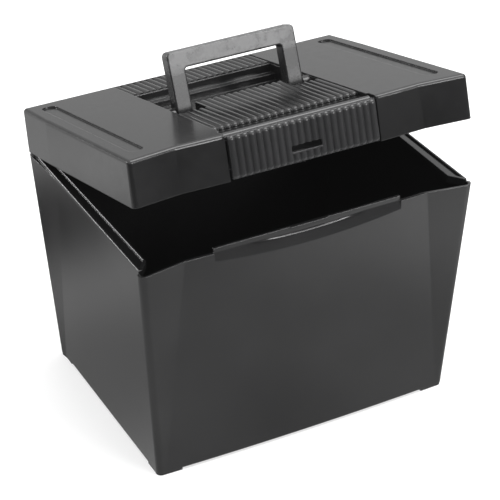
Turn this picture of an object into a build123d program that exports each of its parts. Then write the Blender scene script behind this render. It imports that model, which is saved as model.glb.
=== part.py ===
from build123d import *

import os

# Portable hanging-file box in black moulded plastic.
# Frame: x runs along the front, -Y is the front (latch side), +Y the rear (hinge side),
# +Z is up. Millimetres. Every piece is drawn about the middle of the tub's body, and every
# piece of the lid is drawn with the lid shut, then turned about the lid hinge to the rest
# pose, in which the lid stands ajar and the handle is up. The exported origin is the middle
# of the whole box, hinge knuckles included, on the plane that its feet stand on.

# ---------------------------------------------------------------- driving dimensions
WIDTH = 356.0  # over the front corner posts
RIM_HALF_DEPTH = 132.0  # from the middle to the front corners at the rim
RIM_Z = 239.0  # front rim of the tub
CLOSED_Z = 283.5  # top of the lid when it is shut
FOOT_HEIGHT = 3.0
TUB_WALL = 3.0
FLOOR_THICKNESS = 3.0

LID_REST_ANGLE = 14.7  # lid ajar
HANDLE_LEAN = 7.6  # handle leans back from the lid's normal
LATCH_REST_ANGLE = 2.5  # flap hangs just clear of its catch

RIB_PITCH = 7.0
RIB_COUNT = 22
RIB_RADIUS = 4.0
RIB_FIELD = RIB_PITCH * RIB_COUNT

# ---------------------------------------------------------------- tub
HALF_WIDTH = WIDTH / 2
SIDE_INSET = 2.4  # side walls stand this far inside the front posts at the rim
SIDE_X = HALF_WIDTH - SIDE_INSET
FRONT_KINK = (130.0, -124.0)  # the front corners flare forward from here
FRONT_BOW_Y = -126.5
SIDE_KINK = (173.8, 68.0)  # the rear corners flare outwards from here
REAR_CORNER = (176.8, RIM_HALF_DEPTH)
REAR_WALL_X = 172.9  # raised side wall at the rear, inside the lid's skirt
POST_DEPTH = 8.0
SIDE_WALL_TOP = RIM_Z + 3.2
REAR_WALL_TOP = RIM_Z + 3.2
SIDE_WALL_FRONT = -RIM_HALF_DEPTH + 9.5
RIM_ROUNDING = 1.2
MERGE = 1.0  # pieces that are joined run this far into each other

RIM_PLAN = [
    FRONT_KINK,
    (HALF_WIDTH, -RIM_HALF_DEPTH),
    (HALF_WIDTH, -RIM_HALF_DEPTH + POST_DEPTH),
    (SIDE_X, -RIM_HALF_DEPTH + POST_DEPTH + SIDE_INSET),
    SIDE_KINK,
    REAR_CORNER,
]
BASE_PLAN = [
    (153.0, -119.5),
    (162.0, -119.5),
    (162.0, -112.5),
    (161.7, -112.0),
    (159.2, 108.0),
    (161.4, 121.0),
]
BASE_BOW_Y = -122.5
RIM_CORNER_RADIUS = 6.0
BASE_CORNER_RADIUS = 5.5
TUB_CORNERS = (1, 5)  # points of the plans that are rounded

SHELF_INNER_X = 161.5  # inner face of the rail lips that folders hang on
LIP_THICKNESS = 2.6
SHELF_Z = RIM_Z + 1.0
SHELF_THICKNESS = 2.4
LIP_DROP = 6.0
LIP_JOIN = 0.5  # the lip runs this far into the side wall at its front end
SHELF_CHAMFER_START = -109.0

TONGUE_HALF_WIDTH = 100.0  # raised middle of the front rim, behind the latch
TONGUE_FRONT_Y = -122.9
TONGUE_THICKNESS = 2.6
TONGUE_TOP = RIM_Z + 4.4
TONGUE_SLOPE = 16.0  # its face slopes back over this height
CATCH_WIDTH = 40.0
CATCH_REACH = 1.3
CATCH_THICKNESS = 1.4
LONG_RIM = 30.0  # top edges longer than this are rounded

FOOT_SIZE = 26.0
FOOT_INSET = 0.4

# ---------------------------------------------------------------- lid hinge
HINGE_Y = 137.5
HINGE_Z = 243.5
HINGE_X = 110.0
HINGE_PIN_R = 2.0
KNUCKLE_R = 5.0
LID_KNUCKLE = 20.0
TUB_KNUCKLE = 12.0
KNUCKLE_GAP = 0.4
KNUCKLE_SPAN = LID_KNUCKLE + 2 * TUB_KNUCKLE + 2 * KNUCKLE_GAP
WEB_REACH = 16.0  # the webs that carry the knuckles run this far along the walls
PIN_HEAD_R = 3.2
PIN_HEAD = 1.2
PIN_CHAMFER = 0.3
SEAT = 0.01  # radial clearance of a pin in the part it stays with
RUNNING = 0.05  # radial clearance of a pin in the part that turns on it
SWEEP_CLEARANCE = 0.8  # around parts that turn past each other

# ---------------------------------------------------------------- lid
LID_WALL = 2.0
LID_TOP = 2.6
SKIRT_Z = RIM_Z + 0.4
REAR_SKIRT_Z = HINGE_Z + 0.5
LID_PLAN = [
    (128.5, -124.0),
    (HALF_WIDTH, -RIM_HALF_DEPTH),
    (HALF_WIDTH, SIDE_KINK[1]),
    (176.2, 134.0),
]
LID_BOW_Y = -128.5
LID_DRAFT = 1.2
LID_CORNERS = (1, 3)
LID_CORNER_RADIUS = 5.0
LID_EDGE_RADIUS = 3.6
LID_INNER_RADIUS = 1.5

WELL_HALF_WIDTH = 76.5  # recess that the handle folds into
WELL_REAR_Y = 84.0
WELL_MID_Y = 3.5  # the ribbed front panel reaches back to here between the legs
WELL_FRONT_Y = -22.0  # leg pockets reach forward to here
WELL_MID_HALF_WIDTH = 46.5
WELL_DEPTH = 18.0
WELL_WALL = 2.4
LEDGE_DEPTH = 11.0  # step along the rear wall of the recess
LEDGE_WIDTH = 9.0

PANEL_FRONT_Y = -96.5  # front ends of the ribs
REAR_PANEL = (WELL_REAR_Y + 0.5, 129.5)
PANEL_HALF_WIDTH = RIB_FIELD / 2
PANEL_SINK = 2.4  # floor between the ribs
PANEL_BACKING = 9.0
BACKING_MARGIN = 2.0  # backing runs this far past what it stands behind

GROOVE_X = 155.5
GROOVE_WIDTH = 15.0
GROOVE_Y = (-106.0, 116.0)
GROOVE_DEPTH = 1.7
GROOVE_BACKING = 2.4

# ---------------------------------------------------------------- latch flap
LATCH_Y = -115.5  # flap hinge, in the bead along its top
LATCH_Z = CLOSED_Z - 5.2
BEAD_R = 4.0
BAY_HALF_WIDTH = 79.3
BAY_BACK_Y = -110.6
BAY_WALL_FRONT_Y = -125.6
BAY_BACK_Z = TONGUE_TOP + 2.0
BAY_FLOOR_Z = CLOSED_Z - 5.0
FLAP_HALF_WIDTH = RIB_FIELD / 2
FLAP_FACE_Y = -129.4
FLAP_PLATE_Y = (-126.6, -124.4)
FLAP_BOTTOM = RIM_Z + 1.0
FLAP_TOP = CLOSED_Z - 2.2
CHANNEL_Y = -121.2  # hollow along the top band, between the bead and the ribs
CHANNEL_DEPTH = 2.2
BAND_THICKNESS = 2.2
HOOK_WIDTH = 36.0
HOOK_THICKNESS = 1.9
SLOT_SIZE = (32.0, 6.2)
SLOT_Z = RIM_Z + 15.4
SLOT_LIP = 1.4
SLOT_RADIUS = 1.5
FLAP_EDGE = 0.6  # plate and band stop this far short of the rib ends
FLAP_BORE_DEPTH = 13.0
HOOK_GAP = 0.4  # between the hook and the face of the rim
LATCH_PIN_R = 1.5
LATCH_PIN_LENGTH = 18.0
LUG_R = 4.2
LUG_LENGTH = 7.0

# ---------------------------------------------------------------- carry handle
HANDLE_HALF_WIDTH = 68.6
HANDLE_THICKNESS = 14.0
HANDLE_LEG = 16.5
HANDLE_BAR = 17.2
HANDLE_LENGTH = 60.1  # pivot to the top of the bar
PIVOT_Y = 3.6
PIVOT_Z = CLOSED_Z - 8.0
HANDLE_PIN_R = 2.5
HANDLE_PIN_LENGTH = 18.0
HANDLE_BOSS_R = 7.0
HANDLE_BOSS_GAP = 0.5
HANDLE_CORNER_RADIUS = 5.0
HANDLE_WINDOW_RADIUS = 3.0
HANDLE_EDGE_RADIUS = 1.6
HANDLE_BORE_WALL = 3.0  # left standing on the inner face of each leg

LID_HINGE = Axis((0, HINGE_Y, HINGE_Z), (1, 0, 0))
HANDLE_AXIS = Axis((0, PIVOT_Y, PIVOT_Z), (1, 0, 0))
LATCH_AXIS = Axis((0, LATCH_Y, LATCH_Z), (1, 0, 0))


# ---------------------------------------------------------------- helpers
def inset_plan(points, amount):
    """Right half of a plan, moved inwards by amount."""
    return [(x - amount, y + amount if y < 0 else y - amount) for x, y in points]


def plan_face(points, bow_y, radius, rounded):
    """Face of a symmetric plan: bowed front between the kinks, rounded corners."""
    left = [(-x, y) for x, y in reversed(points)]
    with BuildLine() as outline:
        ThreePointArc(left[-1], (0, bow_y), points[0])
        Polyline(*points, *left)
    make_face(outline.edges())
    corners = [points[i] for i in rounded]
    chosen = [
        v
        for v in vertices()
        if any(abs(abs(v.X) - x) < 1e-4 and abs(v.Y - y) < 1e-4 for x, y in corners)
    ]
    fillet(chosen, radius)


def x_cylinder(y, z, radius, x_from, x_to, mode=Mode.ADD):
    """Round bar or bore along x."""
    with BuildSketch(Plane.YZ.offset(x_from)) as section:
        with Locations((y, z)):
            Circle(radius)
    extrude(section.sketch, amount=x_to - x_from, mode=mode)


def block(x_range, y_range, z_range, mode=Mode.ADD):
    """Rectangular block between two corners."""
    with BuildSketch(Plane.XY.offset(z_range[0])) as base:
        with Locations(((x_range[0] + x_range[1]) / 2, (y_range[0] + y_range[1]) / 2)):
            Rectangle(x_range[1] - x_range[0], y_range[1] - y_range[0])
    extrude(base.sketch, amount=z_range[1] - z_range[0], mode=mode)


def rib_field(y_range, rib_z):
    """Half-round ribs lying front to back, topped at rib_z."""
    with BuildSketch(Plane.XZ.offset(-y_range[1])) as ribs:
        with Locations((0, rib_z - RIB_RADIUS)):
            with GridLocations(RIB_PITCH, 0, RIB_COUNT, 1):
                Circle(RIB_RADIUS)
        with Locations((0, rib_z)):
            Rectangle(RIB_FIELD, RIB_RADIUS, align=(Align.CENTER, Align.MAX), mode=Mode.INTERSECT)
    extrude(ribs.sketch, amount=y_range[1] - y_range[0])


def rib_noses(y, z):
    """A ball end for every rib of a field."""
    with Locations((0, y, z)):
        with GridLocations(RIB_PITCH, 0, RIB_COUNT, 1):
            Sphere(RIB_RADIUS)


def mirrored(side, points):
    """A right-hand outline, or its mirror image when side is -1."""
    return [(side * x, y) for x, y in points]


def prism(points, plane, length, mode=Mode.ADD):
    """Closed outline on a plane, extruded."""
    with BuildSketch(plane) as section:
        with BuildLine() as outline:
            Polyline(*points, close=True)
        make_face(outline.edges())
    extrude(section.sketch, amount=length, mode=mode)


def export(piece, name):
    """Move a finished piece to the exported origin, label it and write its STEP file."""
    placed = piece.moved(Location((0, -ORIGIN_Y, 0)))
    placed.label = name
    export_step(placed, f"parts/{name}.step")


def on_lid(piece):
    """Turn a piece drawn on the shut lid to where the lid stands at rest."""
    return piece.rotate(LID_HINGE, -LID_REST_ANGLE)


os.makedirs("parts", exist_ok=True)


# ---------------------------------------------------------------- tub
with BuildPart() as tub:
    # tapered box with flared front corners
    with BuildSketch(Plane.XY.offset(FOOT_HEIGHT)):
        plan_face(BASE_PLAN, BASE_BOW_Y, BASE_CORNER_RADIUS, TUB_CORNERS)
    with BuildSketch(Plane.XY.offset(RIM_Z)):
        plan_face(RIM_PLAN, FRONT_BOW_Y, RIM_CORNER_RADIUS, TUB_CORNERS)
    loft(ruled=True)

    # file compartment
    with BuildSketch(Plane.XY.offset(FOOT_HEIGHT + FLOOR_THICKNESS)):
        inner_base = inset_plan(BASE_PLAN, TUB_WALL)
        plan_face(inner_base, BASE_BOW_Y + TUB_WALL, BASE_CORNER_RADIUS - TUB_WALL, TUB_CORNERS)
    with BuildSketch(Plane.XY.offset(RIM_Z)):
        inner_rim = inset_plan(RIM_PLAN, TUB_WALL)
        plan_face(inner_rim, FRONT_BOW_Y + TUB_WALL, RIM_CORNER_RADIUS - TUB_WALL, TUB_CORNERS)
    loft(ruled=True, mode=Mode.SUBTRACT)

    for side in (-1, 1):
        # side wall carried up above the front rim
        side_wall = [
            (SIDE_X, SIDE_WALL_FRONT),
            SIDE_KINK,
            (REAR_WALL_X, RIM_HALF_DEPTH - TUB_WALL),
            (REAR_WALL_X - TUB_WALL, RIM_HALF_DEPTH - TUB_WALL),
            (SIDE_KINK[0] - TUB_WALL, SIDE_KINK[1]),
            (SIDE_X - TUB_WALL, SIDE_WALL_FRONT),
        ]
        prism(mirrored(side, side_wall), Plane.XY.offset(RIM_Z - MERGE), SIDE_WALL_TOP - RIM_Z + MERGE)
        # shelf, with its front corner cut off at 45 degrees
        shelf = [
            (SIDE_X - MERGE, SIDE_WALL_FRONT),
            (SIDE_X - TUB_WALL, SIDE_WALL_FRONT),
            (SHELF_INNER_X, SHELF_CHAMFER_START),
            (SHELF_INNER_X, RIM_HALF_DEPTH - TUB_WALL),
            (REAR_WALL_X - MERGE, RIM_HALF_DEPTH - TUB_WALL),
            (SIDE_KINK[0] - MERGE, SIDE_KINK[1]),
        ]
        prism(mirrored(side, shelf), Plane.XY.offset(SHELF_Z - SHELF_THICKNESS), SHELF_THICKNESS)
        # rail lip along the inner edge of the shelf
        lip = [
            (SIDE_X - TUB_WALL - LIP_JOIN, SIDE_WALL_FRONT),
            (SHELF_INNER_X, SHELF_CHAMFER_START),
            (SHELF_INNER_X, RIM_HALF_DEPTH - TUB_WALL),
            (SHELF_INNER_X + LIP_THICKNESS, RIM_HALF_DEPTH - TUB_WALL),
            (SHELF_INNER_X + LIP_THICKNESS, SHELF_CHAMFER_START + LIP_THICKNESS / 2),
            (SIDE_X - TUB_WALL + LIP_JOIN, SIDE_WALL_FRONT + LIP_THICKNESS),
            (SIDE_X - TUB_WALL + LIP_JOIN, SIDE_WALL_FRONT),
        ]
        prism(
            mirrored(side, lip),
            Plane.XY.offset(SHELF_Z - LIP_DROP),
            SIDE_WALL_TOP - SHELF_Z + LIP_DROP,
        )

    # rear wall carried up to the hinge
    block(
        (-REAR_WALL_X, REAR_WALL_X),
        (RIM_HALF_DEPTH - TUB_WALL, RIM_HALF_DEPTH),
        (RIM_Z - MERGE, REAR_WALL_TOP),
    )

    # raised middle of the front rim, leaning back behind the flap, with the catch on it
    tongue = [
        (TONGUE_FRONT_Y, RIM_Z - TONGUE_SLOPE),
        (TONGUE_FRONT_Y, TONGUE_TOP),
        (TONGUE_FRONT_Y + TONGUE_THICKNESS, TONGUE_TOP),
        (TONGUE_FRONT_Y + TONGUE_THICKNESS, RIM_Z - TONGUE_SLOPE),
    ]
    slope_run = TONGUE_FRONT_Y - FRONT_BOW_Y
    slope = [
        (FRONT_BOW_Y - MERGE, RIM_Z - TONGUE_SLOPE * (slope_run + MERGE) / slope_run),
        (TONGUE_FRONT_Y, RIM_Z),
        (TONGUE_FRONT_Y, CLOSED_Z),
        (FRONT_BOW_Y - MERGE, CLOSED_Z),
    ]
    across = Plane.YZ.offset(-TONGUE_HALF_WIDTH)
    prism(tongue, across, 2 * TONGUE_HALF_WIDTH)
    prism(slope, across, 2 * TONGUE_HALF_WIDTH, Mode.SUBTRACT)
    block(
        (-CATCH_WIDTH / 2, CATCH_WIDTH / 2),
        (TONGUE_FRONT_Y - CATCH_REACH, TONGUE_FRONT_Y + MERGE),
        (TONGUE_TOP - CATCH_THICKNESS, TONGUE_TOP),
    )

    # soft top edges on the raised walls and rails
    long_rims = [
        e
        for e in edges().filter_by_position(Axis.Z, SIDE_WALL_TOP - 0.01, SIDE_WALL_TOP + 0.01)
        if e.length > LONG_RIM and abs(e.center().X) > SHELF_INNER_X - MERGE
    ]
    fillet(long_rims, RIM_ROUNDING)

    # four corner feet
    with BuildSketch():
        foot_plan = inset_plan(BASE_PLAN, FOOT_INSET)
        plan_face(foot_plan, BASE_BOW_Y + FOOT_INSET, BASE_CORNER_RADIUS, TUB_CORNERS)
        Rectangle(WIDTH, 2 * (BASE_PLAN[-1][1] - FOOT_SIZE), mode=Mode.SUBTRACT)
        Rectangle(2 * (BASE_PLAN[1][0] - FOOT_SIZE), WIDTH, mode=Mode.SUBTRACT)
    extrude(amount=FOOT_HEIGHT + MERGE)

    # hinge knuckles on the rear wall
    for side in (-1, 1):
        first = side * HINGE_X - KNUCKLE_SPAN / 2
        for x_from in (first, first + KNUCKLE_SPAN - TUB_KNUCKLE):
            x_to = x_from + TUB_KNUCKLE
            web = [
                (RIM_HALF_DEPTH - MERGE, HINGE_Z - 0.5),
                (RIM_HALF_DEPTH - 2 * MERGE, HINGE_Z - WEB_REACH),
                (HINGE_Y + KNUCKLE_R * 0.8, HINGE_Z - KNUCKLE_R * 0.6),
                (HINGE_Y, HINGE_Z),
            ]
            prism(web, Plane.YZ.offset(x_from), TUB_KNUCKLE)
            x_cylinder(HINGE_Y, HINGE_Z, KNUCKLE_R, x_from, x_to)
            x_cylinder(HINGE_Y, HINGE_Z, HINGE_PIN_R + SEAT, x_from, x_to, Mode.SUBTRACT)
        # room for the lid's knuckle to turn
        x_cylinder(
            HINGE_Y,
            HINGE_Z,
            KNUCKLE_R + SWEEP_CLEARANCE,
            side * HINGE_X - LID_KNUCKLE / 2 - KNUCKLE_GAP,
            side * HINGE_X + LID_KNUCKLE / 2 + KNUCKLE_GAP,
            Mode.SUBTRACT,
        )
ORIGIN_Y = tub.part.bounding_box().center().Y
export(tub.part, "tub")


# ---------------------------------------------------------------- lid
def lid_plan(inset):
    """Plan of the lid, moved inwards by inset."""
    points = inset_plan(LID_PLAN, inset)
    plan_face(points, LID_BOW_Y + inset, max(LID_CORNER_RADIUS - inset, LID_INNER_RADIUS), LID_CORNERS)


with BuildPart() as lid:
    with BuildSketch(Plane.XY.offset(SKIRT_Z)):
        lid_plan(0)
    with BuildSketch(Plane.XY.offset(CLOSED_Z)):
        lid_plan(LID_DRAFT)
    loft(ruled=True)

    fillet(faces().sort_by(Axis.Z)[-1].edges(), LID_EDGE_RADIUS)

    # hollow under the top
    with BuildSketch(Plane.XY.offset(SKIRT_Z)):
        lid_plan(LID_WALL)
    with BuildSketch(Plane.XY.offset(CLOSED_Z - LID_TOP)):
        lid_plan(LID_WALL + LID_DRAFT)
    loft(ruled=True, mode=Mode.SUBTRACT)

    # rear skirt ends above the hinge line
    block((-WIDTH, WIDTH), (RIM_HALF_DEPTH - 2.5, WIDTH), (0, REAR_SKIRT_Z), Mode.SUBTRACT)

    # material under the ribs, the grooves and around the recess
    block(
        (-PANEL_HALF_WIDTH - BACKING_MARGIN, PANEL_HALF_WIDTH + BACKING_MARGIN),
        (BAY_BACK_Y, REAR_PANEL[1]),
        (CLOSED_Z - PANEL_BACKING, CLOSED_Z - MERGE),
    )
    for side in (-1, 1):
        reach = GROOVE_WIDTH / 2 + BACKING_MARGIN
        block(
            (side * GROOVE_X - reach, side * GROOVE_X + reach),
            (GROOVE_Y[0] - BACKING_MARGIN, GROOVE_Y[1] + BACKING_MARGIN),
            (CLOSED_Z - GROOVE_DEPTH - GROOVE_BACKING, CLOSED_Z - MERGE),
        )
    block(
        (-WELL_HALF_WIDTH - WELL_WALL, WELL_HALF_WIDTH + WELL_WALL),
        (WELL_FRONT_Y - WELL_WALL, WELL_REAR_Y + WELL_WALL),
        (CLOSED_Z - WELL_DEPTH - WELL_WALL, CLOSED_Z - MERGE),
    )

    # bay for the latch flap: open front, back wall, end walls and lugs
    block((-BAY_HALF_WIDTH, BAY_HALF_WIDTH), (-WIDTH, BAY_BACK_Y), (0, WIDTH), Mode.SUBTRACT)
    block(
        (-BAY_HALF_WIDTH, BAY_HALF_WIDTH),
        (BAY_BACK_Y, BAY_BACK_Y + LID_WALL),
        (BAY_BACK_Z, BAY_FLOOR_Z),
    )
    for side in (-1, 1):
        end_wall = sorted((side * BAY_HALF_WIDTH, side * (BAY_HALF_WIDTH + LID_WALL)))
        block(
            end_wall,
            (BAY_WALL_FRONT_Y, BAY_BACK_Y + LID_WALL),
            (TONGUE_TOP + SWEEP_CLEARANCE, CLOSED_Z - MERGE),
        )
        lug = sorted((side * BAY_HALF_WIDTH, side * (BAY_HALF_WIDTH + LUG_LENGTH)))
        x_cylinder(LATCH_Y, LATCH_Z, LUG_R, *lug)
        x_cylinder(LATCH_Y, LATCH_Z, LATCH_PIN_R + SEAT, *lug, Mode.SUBTRACT)

    # sink the ribbed panels, then raise the ribs in them
    block(
        (-PANEL_HALF_WIDTH, PANEL_HALF_WIDTH),
        (PANEL_FRONT_Y, REAR_PANEL[1]),
        (CLOSED_Z - PANEL_SINK, CLOSED_Z + MERGE),
        Mode.SUBTRACT,
    )
    block(
        (-PANEL_HALF_WIDTH, PANEL_HALF_WIDTH),
        (BAY_BACK_Y - MERGE, PANEL_FRONT_Y + RIB_RADIUS),
        (BAY_FLOOR_Z, CLOSED_Z + MERGE),
        Mode.SUBTRACT,
    )
    rib_field((PANEL_FRONT_Y + RIB_RADIUS, WELL_MID_Y), CLOSED_Z)
    rib_noses(PANEL_FRONT_Y + RIB_RADIUS, CLOSED_Z - RIB_RADIUS)
    rib_field(REAR_PANEL, CLOSED_Z)

    # handle recess with two leg pockets and a step along its rear wall
    block(
        (-WELL_HALF_WIDTH, WELL_HALF_WIDTH),
        (WELL_MID_Y, WELL_REAR_Y),
        (CLOSED_Z - WELL_DEPTH, CLOSED_Z + MERGE),
        Mode.SUBTRACT,
    )
    block(
        (-WELL_HALF_WIDTH, WELL_HALF_WIDTH),
        (WELL_REAR_Y - LEDGE_WIDTH, WELL_REAR_Y),
        (CLOSED_Z - WELL_DEPTH, CLOSED_Z - LEDGE_DEPTH),
    )
    for side in (-1, 1):
        pocket = sorted((side * WELL_MID_HALF_WIDTH, side * WELL_HALF_WIDTH))
        block(
            pocket,
            (WELL_FRONT_Y, WELL_MID_Y),
            (CLOSED_Z - WELL_DEPTH, CLOSED_Z + MERGE),
            Mode.SUBTRACT,
        )
        boss = sorted((side * (HANDLE_HALF_WIDTH + HANDLE_BOSS_GAP), side * (WELL_HALF_WIDTH + MERGE)))
        x_cylinder(PIVOT_Y, PIVOT_Z, HANDLE_BOSS_R, *boss)
        bore = sorted((side * HANDLE_HALF_WIDTH, side * (WELL_HALF_WIDTH + WELL_WALL + MERGE)))
        x_cylinder(PIVOT_Y, PIVOT_Z, HANDLE_PIN_R + SEAT, *bore, Mode.SUBTRACT)

    # long grooves beside the panels
    for side in (-1, 1):
        with BuildSketch(Plane.XY.offset(CLOSED_Z - GROOVE_DEPTH)):
            with Locations((side * GROOVE_X, sum(GROOVE_Y) / 2)):
                SlotOverall(GROOVE_Y[1] - GROOVE_Y[0], GROOVE_WIDTH, rotation=90)
        extrude(amount=GROOVE_DEPTH + MERGE, mode=Mode.SUBTRACT)

    # hinge knuckles, and room to turn past the tub's knuckles
    for side in (-1, 1):
        knuckle = (side * HINGE_X - LID_KNUCKLE / 2, side * HINGE_X + LID_KNUCKLE / 2)
        for x_from in (side * HINGE_X - KNUCKLE_SPAN / 2, knuckle[1]):
            x_cylinder(
                HINGE_Y,
                HINGE_Z,
                KNUCKLE_R + SWEEP_CLEARANCE,
                x_from - KNUCKLE_GAP,
                x_from + TUB_KNUCKLE + 2 * KNUCKLE_GAP,
                Mode.SUBTRACT,
            )
        web = [
            (LID_PLAN[-1][1] - 1.6, REAR_SKIRT_Z),
            (LID_PLAN[-1][1] - 1.6, HINGE_Z + WEB_REACH - 2),
            (LID_PLAN[-1][1] - 0.4, HINGE_Z + WEB_REACH - 2),
            (HINGE_Y + KNUCKLE_R * 0.8, HINGE_Z + KNUCKLE_R * 0.6),
            (HINGE_Y, HINGE_Z),
        ]
        prism(web, Plane.YZ.offset(knuckle[0]), LID_KNUCKLE)
        x_cylinder(HINGE_Y, HINGE_Z, KNUCKLE_R, *knuckle)
        x_cylinder(HINGE_Y, HINGE_Z, HINGE_PIN_R + RUNNING, *knuckle, Mode.SUBTRACT)
export(on_lid(lid.part), "lid")


# ---------------------------------------------------------------- hinge pins
for side, name in ((-1, "hinge_pin_left"), (1, "hinge_pin_right")):
    with BuildPart() as hinge_pin:
        span = (side * HINGE_X - KNUCKLE_SPAN / 2, side * HINGE_X + KNUCKLE_SPAN / 2)
        x_cylinder(HINGE_Y, HINGE_Z, HINGE_PIN_R, *span)
        outer = HINGE_X + KNUCKLE_SPAN / 2
        head = sorted((side * outer, side * (outer + PIN_HEAD)))
        x_cylinder(HINGE_Y, HINGE_Z, PIN_HEAD_R, *head)
        chamfer(edges().filter_by(GeomType.CIRCLE).group_by(Axis.X)[0], PIN_CHAMFER)
        chamfer(edges().filter_by(GeomType.CIRCLE).group_by(Axis.X)[-1], PIN_CHAMFER)
    export(hinge_pin.part, name)


# ---------------------------------------------------------------- carry handle
with BuildPart() as carry_handle:
    foot = HANDLE_THICKNESS / 2
    with BuildSketch(Plane.XZ.offset(-PIVOT_Y - foot)):
        with Locations((0, PIVOT_Z + (HANDLE_LENGTH - foot) / 2)):
            Rectangle(2 * HANDLE_HALF_WIDTH, HANDLE_LENGTH + foot)
        fillet(vertices().group_by(Axis.Y)[-1], HANDLE_CORNER_RADIUS)
        with Locations((0, PIVOT_Z + (HANDLE_LENGTH - HANDLE_BAR - foot) / 2)):
            Rectangle(
                2 * (HANDLE_HALF_WIDTH - HANDLE_LEG),
                HANDLE_LENGTH - HANDLE_BAR + foot,
                mode=Mode.SUBTRACT,
            )
        window_top = PIVOT_Z + HANDLE_LENGTH - HANDLE_BAR
        fillet([v for v in vertices() if abs(v.Y - window_top) < 1e-4], HANDLE_WINDOW_RADIUS)
    extrude(amount=HANDLE_THICKNESS)
    # feet rounded about the pivot
    fillet(edges().filter_by(Axis.X).group_by(Axis.Z)[0], foot - 0.02)
    # soft edges all round the front and back faces
    long_edges = faces().filter_by(Axis.Y).edges()
    fillet(long_edges, HANDLE_EDGE_RADIUS)
    for side in (-1, 1):
        inner = HANDLE_HALF_WIDTH - HANDLE_LEG + HANDLE_BORE_WALL
        bore = sorted((side * inner, side * (HANDLE_HALF_WIDTH + MERGE)))
        x_cylinder(PIVOT_Y, PIVOT_Z, HANDLE_PIN_R + RUNNING, *bore, Mode.SUBTRACT)
export(on_lid(carry_handle.part.rotate(HANDLE_AXIS, -HANDLE_LEAN)), "carry_handle")


# ---------------------------------------------------------------- handle pins
for side, name in ((-1, "handle_pin_left"), (1, "handle_pin_right")):
    with BuildPart() as handle_pin:
        outer = WELL_HALF_WIDTH + WELL_WALL
        span = sorted((side * (outer - HANDLE_PIN_LENGTH), side * outer))
        x_cylinder(PIVOT_Y, PIVOT_Z, HANDLE_PIN_R, *span)
        chamfer(edges().filter_by(GeomType.CIRCLE).group_by(Axis.X)[0], PIN_CHAMFER)
        chamfer(edges().filter_by(GeomType.CIRCLE).group_by(Axis.X)[-1], PIN_CHAMFER)
    export(on_lid(handle_pin.part), name)


# ---------------------------------------------------------------- latch flap
with BuildPart() as latch_flap:
    # upright ribs with ball ends; only their front halves stand proud of the plate
    rib_y = FLAP_FACE_Y + RIB_RADIUS
    with BuildSketch(Plane.XY.offset(FLAP_BOTTOM + RIB_RADIUS)):
        with Locations((0, rib_y)):
            with GridLocations(RIB_PITCH, 0, RIB_COUNT, 1):
                Circle(RIB_RADIUS)
    extrude(amount=FLAP_TOP - FLAP_BOTTOM - 2 * RIB_RADIUS)
    rib_noses(rib_y, FLAP_BOTTOM + RIB_RADIUS)
    rib_noses(rib_y, FLAP_TOP - RIB_RADIUS)
    block(
        (-WIDTH, WIDTH),
        (FLAP_PLATE_Y[0] + 0.5, 0),
        (0, WIDTH),
        Mode.SUBTRACT,
    )
    # ribs at the ends are cut off flush with the plate
    for side in (-1, 1):
        end_cut = sorted((side * FLAP_HALF_WIDTH, side * WIDTH))
        block(end_cut, (-WIDTH, 0), (0, WIDTH), Mode.SUBTRACT)
    # plate behind the ribs
    block(
        (-FLAP_HALF_WIDTH, FLAP_HALF_WIDTH),
        FLAP_PLATE_Y,
        (FLAP_BOTTOM + FLAP_EDGE, FLAP_TOP - FLAP_EDGE),
    )
    # window above the hook, with a straight lip under it
    with BuildSketch(Plane.XZ.offset(-FLAP_PLATE_Y[1] - MERGE)):
        with Locations((0, SLOT_Z)):
            RectangleRounded(*SLOT_SIZE, SLOT_RADIUS)
    extrude(amount=10, mode=Mode.SUBTRACT)
    slot_bottom = SLOT_Z - SLOT_SIZE[1] / 2
    block(
        (-SLOT_SIZE[0] / 2, SLOT_SIZE[0] / 2),
        (FLAP_FACE_Y, FLAP_PLATE_Y[1]),
        (slot_bottom - SLOT_LIP, slot_bottom),
    )
    # hook under the tub's catch
    block(
        (-HOOK_WIDTH / 2, HOOK_WIDTH / 2),
        (FLAP_PLATE_Y[1] - MERGE, TONGUE_FRONT_Y - HOOK_GAP),
        (FLAP_BOTTOM + FLAP_EDGE, FLAP_BOTTOM + HOOK_THICKNESS),
    )
    # top band with a hollow along it, and the bead that turns on the latch pins
    with BuildSketch(Plane.YZ.offset(-FLAP_HALF_WIDTH)) as band:
        with BuildLine() as outline:
            ThreePointArc(
                (LATCH_Y, LATCH_Z + BEAD_R - 1.0),
                (CHANNEL_Y, FLAP_TOP - CHANNEL_DEPTH),
                (FLAP_PLATE_Y[0], FLAP_TOP - FLAP_EDGE),
            )
            Polyline(
                (FLAP_PLATE_Y[0], FLAP_TOP - FLAP_EDGE),
                (FLAP_PLATE_Y[0], FLAP_TOP - CHANNEL_DEPTH - BAND_THICKNESS),
                (FLAP_PLATE_Y[1], FLAP_TOP - CHANNEL_DEPTH - BAND_THICKNESS),
                (LATCH_Y, LATCH_Z - 1.0),
                (LATCH_Y, LATCH_Z + BEAD_R - 1.0),
            )
        make_face(outline.edges())
        with Locations((LATCH_Y, LATCH_Z)):
            Circle(BEAD_R)
    extrude(band.sketch, amount=2 * FLAP_HALF_WIDTH)
    for side in (-1, 1):
        bore = sorted((side * (FLAP_HALF_WIDTH - FLAP_BORE_DEPTH), side * (FLAP_HALF_WIDTH + MERGE)))
        x_cylinder(LATCH_Y, LATCH_Z, LATCH_PIN_R + RUNNING, *bore, Mode.SUBTRACT)
export(on_lid(latch_flap.part.rotate(LATCH_AXIS, -LATCH_REST_ANGLE)), "latch_flap")


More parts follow.
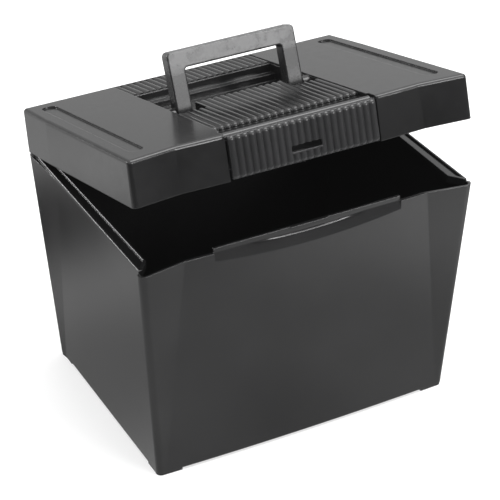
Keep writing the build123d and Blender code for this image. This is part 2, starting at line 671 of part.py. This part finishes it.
# ---------------------------------------------------------------- latch pins
for side, name in ((-1, "latch_pin_left"), (1, "latch_pin_right")):
    with BuildPart() as latch_pin:
        outer = BAY_HALF_WIDTH + LUG_LENGTH
        span = sorted((side * (outer - LATCH_PIN_LENGTH), side * outer))
        x_cylinder(LATCH_Y, LATCH_Z, LATCH_PIN_R, *span)
        chamfer(edges().filter_by(GeomType.CIRCLE).group_by(Axis.X)[0], PIN_CHAMFER)
        chamfer(edges().filter_by(GeomType.CIRCLE).group_by(Axis.X)[-1], PIN_CHAMFER)
    export(on_lid(latch_pin.part), name)
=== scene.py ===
"""Looks of the portable file box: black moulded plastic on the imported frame, in a white studio."""

import math

import bpy
from mathutils import Matrix, Vector


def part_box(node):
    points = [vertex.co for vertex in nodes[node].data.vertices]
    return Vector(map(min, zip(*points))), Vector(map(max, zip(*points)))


MM = 0.001  # every length is in metres

# ---------------------------------------------------------------- camera
CAMERA_PLACE = Vector((-0.8104, -1.5478, 1.2315))
CAMERA_YAW = -27.8  # degrees
CAMERA_PITCH = -31.95
CAMERA_ROLL = -0.37
CAMERA_LENS = 147.2  # focal length in millimetres

# ---------------------------------------------------------------- plastic
PAINTED_GLOW = 0.0028  # painted glow: the plastic gives off a little light of its own, so the black is never dead black
BLUE_CAST = 1.04
PLASTIC_IOR = 1.5
PLASTIC_SHINE = 0.5
GRAIN_SIZE = 0.55 * MM
MOTTLE_SIZE = 9 * MM
SMUDGE_SIZE = 55 * MM
GRAIN_DEPTH = 0.012 * MM
FLOW_DEPTH = 0.02 * MM
FLOW_STRENGTH = 0.35
NOISE_BAND = (0.3, 0.7)  # nearly all of a noise's values lie between these
SMUDGE_TONES = (0.85, 1.2)  # relative to the base tone
SMUDGE_ROUGHNESS = (0.9, 1.12)  # relative to the base roughness
MOTTLE_ROUGHNESS = (-0.02, 0.03)  # added
BEVEL_SAMPLES = 6
EDGE_BAND = (0.99, 0.75)  # cosine between true and softened normal, from flat to full edge
RUBBED_BAND = (0.40, 0.60)  # values of the mottle between which an edge goes from dull to rubbed
RUBBED_LEAST = 0.3
RUBBED_TONE = 4.0  # relative to the base tone
RUBBED_ROUGHNESS = 0.15  # added

# ---------------------------------------------------------------- worn grip
GRIP_DEPTH = 19 * MM  # it reaches this far down from the top of the handle
GRIP_FADE = (-2 * MM, 4 * MM)  # and fades in between these heights about that level
WORN_BAND = (0.40, 0.58)  # values of the mottle between which the wear goes from least to full
WORN_LEAST = 0.25
WORN_TONE = 0.035
WORN_SHINE = 0.5  # added
WORN_ROUGHNESS = 0.10  # added

# ---------------------------------------------------------------- steel
WIRE_SCALE = (60, 2500, 2500)  # lines drawn out along x
WIRE_DARK = (0.42, 0.42, 0.43, 1)
WIRE_LIGHT = (0.62, 0.62, 0.63, 1)
WIRE_ROUGHNESS = (0.25, 0.4)
WIRE_RELIEF = 0.3
WIRE_DEPTH = 0.02 * MM

# ---------------------------------------------------------------- studio
FLOOR_HALF = 9.0
PAPER_SCALE = 3.0  # clouds of the paper's tone per metre
PAPER_DARK = (0.90, 0.90, 0.90, 1)
PAPER_LIGHT = (0.92, 0.92, 0.92, 1)
MIRRORED_FLOOR_GLOW = 0.80  # brightness of the painted reflection: the glow of the floor that only the box's mirror rays see
PAINTED_FLOOR_PATCHES = [  # painted shadow (negative changes) and painted pools of light (positive changes) on the floor the box reflects: place, reach and relative change of that brightness
    ((-0.18, 0.06), 0.30, -0.55),
    ((-0.24, 0.36), 0.22, -0.88),
    ((0.37, -0.41), 0.26, 1.15),
    ((0.16, -0.42), 0.14, 0.35),
    ((0.00, -0.17), 0.13, -0.27),
    ((-0.46, 0.46), 0.20, 0.45),
]
PAINTED_DARK_FRONT = (1.0, 2.2)  # painted shade: in front, the floor as the box reflects it fades over these distances
FRONT_LEVEL = 0.15  # and keeps this share of its brightness
FRONT_TURN = (0.5, -0.5)  # the fade sets in between these places along y
BURN = 0.4  # how far the paper is burnt out to white in the camera's view
BACKDROP = 1.2  # brightness of burnt paper, and of the room as the camera sees it
WORLD_FRONT = 0.15  # brightness of the room along the horizon in front of the box
WORLD_BEHIND = 0.52
WORLD_RIGHT = 0.25  # added to the right
WORLD_TOP = 1.6
FRONT_TO_BEHIND = (-0.6, 0.5)  # a ray's y, x and z between which each change of the room is made
MIDDLE_TO_RIGHT = (0.3, 0.6)
HORIZON_TO_TOP = (0.16, 0.80)
LIGHTS = [  # name, place, target, width, height, watts
    ("edge", (-2.3, 3.0, 0.90), (0, 0, 0.25), 0.8, 0.8, 34.0),
    ("overhead", (0.7, -0.1, 2.1), (0.7, -0.1, 0), 1.8, 1.0, 34.0),
    ("key", (1.3, -2.9, 1.68), (0, 0, 0.3), 1.4, 0.9, 52.0),
]

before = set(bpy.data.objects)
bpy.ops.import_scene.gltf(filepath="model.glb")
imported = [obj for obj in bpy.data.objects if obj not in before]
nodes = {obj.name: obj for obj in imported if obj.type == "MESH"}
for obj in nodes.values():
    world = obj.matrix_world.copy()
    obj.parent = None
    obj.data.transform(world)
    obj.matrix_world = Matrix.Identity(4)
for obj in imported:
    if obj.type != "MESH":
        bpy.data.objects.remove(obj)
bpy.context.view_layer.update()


# ---------------------------------------------------------------- node helpers
class Graph:
    """Short calls for building one node tree, of a material or of the world."""

    def __init__(self, tree):
        self.tree = tree

    def node(self, kind, inputs=None, **settings):
        made = self.tree.nodes.new(kind)
        for name, value in settings.items():
            setattr(made, name, value)
        for name, value in (inputs or {}).items():
            self.put(value, made.inputs[name])
        return made

    def put(self, value, socket):
        if isinstance(value, bpy.types.NodeSocket):
            self.tree.links.new(value, socket)
        else:
            socket.default_value = value

    def math(self, operation, a, b, clamp=False):
        made = self.node("ShaderNodeMath", {0: a, 1: b}, operation=operation, use_clamp=clamp)
        return made.outputs[0]

    def noise(self, vector, scale, detail=3.0, roughness=0.5):
        made = self.node(
            "ShaderNodeTexNoise",
            {"Vector": vector, "Scale": scale, "Detail": detail, "Roughness": roughness},
        )
        return made.outputs["Fac"]

    def remap(self, value, band, to_low=0.0, to_high=1.0, interpolation="LINEAR"):
        low, high = band
        made = self.node(
            "ShaderNodeMapRange",
            {"Value": value, "From Min": low, "From Max": high, "To Min": to_low, "To Max": to_high},
            interpolation_type=interpolation,
        )
        return made.outputs["Result"]

    def mix_color(self, factor, a, b):
        made = self.node("ShaderNodeMix", {"Factor": factor, 6: a, 7: b}, data_type="RGBA")
        return made.outputs[2]

    def mix_shader(self, factor, a, b):
        made = self.node("ShaderNodeMixShader", {"Fac": factor, 1: a, 2: b})
        return made.outputs[0]

    def show(self, shader):
        self.node("ShaderNodeOutputMaterial", {"Surface": shader})


def new_material(name):
    material = bpy.data.materials.new(name)
    material.use_nodes = True
    material.node_tree.nodes.clear()
    return material, Graph(material.node_tree)


def grey(value):
    return (value, value, value * BLUE_CAST, 1.0)


# ---------------------------------------------------------------- materials
def moulded_plastic(name, base, roughness, grain, edge_radius, scuffs=0.5, worn_above=None):
    """Black moulded plastic: spark-eroded grain, faint flow marks, softened and rubbed edges, and a
    faint painted glow.

    Above the height worn_above the surface is a grip that hands have worn blotchy.
    """
    material, g = new_material(name)
    where = g.node("ShaderNodeTexCoord").outputs["Object"]
    fine = g.noise(where, 1 / GRAIN_SIZE, 2.0, 0.6)
    mottle = g.noise(where, 1 / MOTTLE_SIZE, 4.0, 0.55)
    smudge = g.noise(where, 1 / SMUDGE_SIZE, 3.0, 0.5)

    bevel = g.node("ShaderNodeBevel", {"Radius": edge_radius}, samples=BEVEL_SAMPLES)
    softened = bevel.outputs["Normal"]
    surface = g.node("ShaderNodeNewGeometry").outputs["Normal"]
    facing = g.node("ShaderNodeVectorMath", {0: softened, 1: surface}, operation="DOT_PRODUCT")
    edge = g.remap(facing.outputs["Value"], EDGE_BAND)
    rubbing = g.remap(mottle, RUBBED_BAND, RUBBED_LEAST, scuffs)
    rubbed = g.math("MULTIPLY", edge, rubbing, clamp=True)

    darkest, lightest = (grey(base * share) for share in SMUDGE_TONES)
    tone = g.mix_color(g.remap(smudge, NOISE_BAND), darkest, lightest)
    tone = g.mix_color(rubbed, tone, grey(base * RUBBED_TONE))

    smoothest, roughest = (roughness * share for share in SMUDGE_ROUGHNESS)
    rough = g.remap(smudge, NOISE_BAND, smoothest, roughest)
    rough = g.math("ADD", rough, g.remap(mottle, NOISE_BAND, *MOTTLE_ROUGHNESS))
    rough = g.math("ADD", rough, g.math("MULTIPLY", rubbed, RUBBED_ROUGHNESS))
    shine = PLASTIC_SHINE
    if worn_above is not None:
        height = g.node("ShaderNodeSeparateXYZ", {"Vector": where}).outputs["Z"]
        grip = g.remap(height, [worn_above + step for step in GRIP_FADE])
        wear = g.remap(mottle, WORN_BAND, WORN_LEAST, 1.0)
        blotches = g.math("MULTIPLY", grip, wear, clamp=True)
        shine = g.math("ADD", g.math("MULTIPLY", blotches, WORN_SHINE), shine)
        rough = g.math("ADD", g.math("MULTIPLY", blotches, WORN_ROUGHNESS), rough)
        tone = g.mix_color(blotches, tone, grey(WORN_TONE))

    waves = g.node(
        "ShaderNodeBump",
        {"Strength": FLOW_STRENGTH, "Distance": FLOW_DEPTH, "Height": smudge, "Normal": softened},
    ).outputs["Normal"]
    relief = g.node(
        "ShaderNodeBump",
        {"Strength": grain, "Distance": GRAIN_DEPTH, "Height": fine, "Normal": waves},
    ).outputs["Normal"]
    shader = g.node(
        "ShaderNodeBsdfPrincipled",
        {
            "Base Color": tone,
            "Roughness": rough,
            "IOR": PLASTIC_IOR,
            "Specular IOR Level": shine,
            "Normal": relief,
            # painted glow: an even emission that lifts the black
            "Emission Color": (1, 1, 1, 1),
            "Emission Strength": PAINTED_GLOW,
        },
    )
    g.show(shader.outputs["BSDF"])
    return material


def drawn_steel(name):
    """Bright drawn wire with fine lines along x, the way every pin lies."""
    material, g = new_material(name)
    where = g.node("ShaderNodeTexCoord").outputs["Object"]
    stretched = g.node("ShaderNodeMapping", {"Vector": where, "Scale": WIRE_SCALE})
    lines = g.noise(stretched.outputs["Vector"], 1.0, 3.0, 0.6)
    tone = g.mix_color(lines, WIRE_DARK, WIRE_LIGHT)
    relief = g.node(
        "ShaderNodeBump", {"Strength": WIRE_RELIEF, "Distance": WIRE_DEPTH, "Height": lines}
    )
    shader = g.node(
        "ShaderNodeBsdfPrincipled",
        {
            "Base Color": tone,
            "Metallic": 1.0,
            "Roughness": g.remap(lines, NOISE_BAND, *WIRE_ROUGHNESS),
            "Normal": relief.outputs["Normal"],
        },
    )
    g.show(shader.outputs["BSDF"])
    return material


grip_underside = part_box("carry_handle")[1][2] - GRIP_DEPTH
finishes = {
    "tub": moulded_plastic(
        "tub_plastic", base=0.008, roughness=0.16, grain=0.10, edge_radius=1.1 * MM
    ),
    "lid": moulded_plastic(
        "lid_plastic", base=0.007, roughness=0.20, grain=0.12, edge_radius=1.1 * MM
    ),
    "latch_flap": moulded_plastic(
        "flap_plastic", base=0.018, roughness=0.20, grain=0.10, edge_radius=0.6 * MM
    ),
    "carry_handle": moulded_plastic(
        "handle_plastic",
        base=0.014,
        roughness=0.25,
        grain=0.30,
        edge_radius=0.9 * MM,
        scuffs=0.9,
        worn_above=grip_underside,
    ),
}
steel = drawn_steel("pin_steel")
for name, node in nodes.items():
    node.data.materials.clear()
    node.data.materials.append(finishes.get(name, steel))


# ---------------------------------------------------------------- studio
def spot(g, where, place, reach):
    """Soft round patch of painted light or shade on the floor, 1 in the middle and 0 outside."""
    offset = g.node("ShaderNodeVectorMath", {0: where, 1: (*place, 0.0)}, operation="DISTANCE")
    return g.remap(offset.outputs["Value"], (0.0, reach), 1.0, 0.0, "SMOOTHERSTEP")


def floor():
    """Pale paper: nearly burnt out to the camera, and a glowing painted reflection with painted
    light and shade where the box reflects it.
    """
    mesh = bpy.data.meshes.new("floor")
    corners = [(-FLOOR_HALF, -FLOOR_HALF, 0), (FLOOR_HALF, -FLOOR_HALF, 0)]
    corners += [(FLOOR_HALF, FLOOR_HALF, 0), (-FLOOR_HALF, FLOOR_HALF, 0)]
    mesh.from_pydata(corners, [], [(0, 1, 2, 3)])
    plane = bpy.data.objects.new("floor", mesh)
    bpy.context.scene.collection.objects.link(plane)
    material, g = new_material("floor_paper_and_painted_reflection")
    where = g.node("ShaderNodeTexCoord").outputs["Object"]
    tone = g.mix_color(g.noise(where, PAPER_SCALE), PAPER_DARK, PAPER_LIGHT)
    paper = g.node("ShaderNodeBsdfDiffuse", {"Color": tone}).outputs["BSDF"]

    level = MIRRORED_FLOOR_GLOW
    # painted shadow and painted pools of light in the floor's reflection
    for place, reach, change in PAINTED_FLOOR_PATCHES:
        factor = g.math("ADD", g.math("MULTIPLY", spot(g, where, place, reach), change), 1.0)
        level = g.math("MULTIPLY", factor, level)
    # painted shade: the reflected floor darkens far in front of the box
    away = g.node("ShaderNodeVectorMath", {0: where}, operation="LENGTH").outputs["Value"]
    distant = g.remap(away, PAINTED_DARK_FRONT)
    ahead = g.node("ShaderNodeSeparateXYZ", {"Vector": where}).outputs["Y"]
    fade = g.math("MULTIPLY", distant, g.remap(ahead, FRONT_TURN))
    kept = g.math("ADD", g.math("MULTIPLY", fade, FRONT_LEVEL - 1.0), 1.0)
    level = g.math("MULTIPLY", level, kept)
    # painted reflection: the floor glows with painted light and shade for mirror rays only
    painted_reflection = g.node("ShaderNodeEmission", {"Color": tone, "Strength": level}).outputs["Emission"]
    burnt = g.node("ShaderNodeEmission", {"Strength": BACKDROP}).outputs["Emission"]

    ray = g.node("ShaderNodeLightPath")
    seen = g.mix_shader(BURN, paper, burnt)
    reflected = g.mix_shader(ray.outputs["Is Glossy Ray"], paper, painted_reflection)
    final = g.mix_shader(ray.outputs["Is Camera Ray"], reflected, seen)
    g.show(final)
    mesh.materials.append(material)


def studio_world():
    """White room, brightest overhead and dimmest in front; the camera sees all of it as white."""
    world = bpy.data.worlds.new("studio")
    bpy.context.scene.world = world
    world.use_nodes = True
    g = Graph(world.node_tree)
    background = world.node_tree.nodes["Background"]
    background.inputs["Color"].default_value = (1, 1, 1, 1)
    direction = g.node("ShaderNodeTexCoord").outputs["Generated"]
    parts = g.node("ShaderNodeSeparateXYZ", {"Vector": direction})
    behind = g.remap(parts.outputs["Y"], FRONT_TO_BEHIND)
    right = g.math("MULTIPLY", g.remap(parts.outputs["X"], MIDDLE_TO_RIGHT), WORLD_RIGHT)
    horizon = g.math("ADD", g.math("MULTIPLY", behind, WORLD_BEHIND - WORLD_FRONT), WORLD_FRONT)
    horizon = g.math("ADD", horizon, right)
    rise = g.remap(parts.outputs["Z"], HORIZON_TO_TOP)
    span = g.math("SUBTRACT", WORLD_TOP, horizon)
    level = g.math("ADD", horizon, g.math("MULTIPLY", rise, span))
    seen = g.node("ShaderNodeLightPath").outputs["Is Camera Ray"]
    level = g.math("MAXIMUM", level, g.math("MULTIPLY", seen, BACKDROP))
    g.put(level, background.inputs["Strength"])


def softbox(name, place, target, width, height, power):
    data = bpy.data.lights.new(name, "AREA")
    data.shape = "RECTANGLE"
    data.size = width
    data.size_y = height
    data.energy = power
    lamp = bpy.data.objects.new(name, data)
    lamp.location = place
    lamp.rotation_euler = (Vector(target) - Vector(place)).to_track_quat("-Z", "Y").to_euler()
    bpy.context.scene.collection.objects.link(lamp)


def camera():
    data = bpy.data.cameras.new("camera")
    data.lens = CAMERA_LENS
    eye = bpy.data.objects.new("camera", data)
    turn = Matrix.Rotation(math.radians(CAMERA_YAW), 4, "Z")
    tilt = Matrix.Rotation(math.radians(90 + CAMERA_PITCH), 4, "X")
    roll = Matrix.Rotation(math.radians(CAMERA_ROLL), 4, "Z")
    eye.matrix_world = Matrix.Translation(CAMERA_PLACE) @ turn @ tilt @ roll
    bpy.context.scene.collection.objects.link(eye)
    bpy.context.scene.camera = eye


floor()
studio_world()
for light in LIGHTS:
    softbox(*light)
camera()
bpy.context.scene.view_settings.view_transform = "Standard"
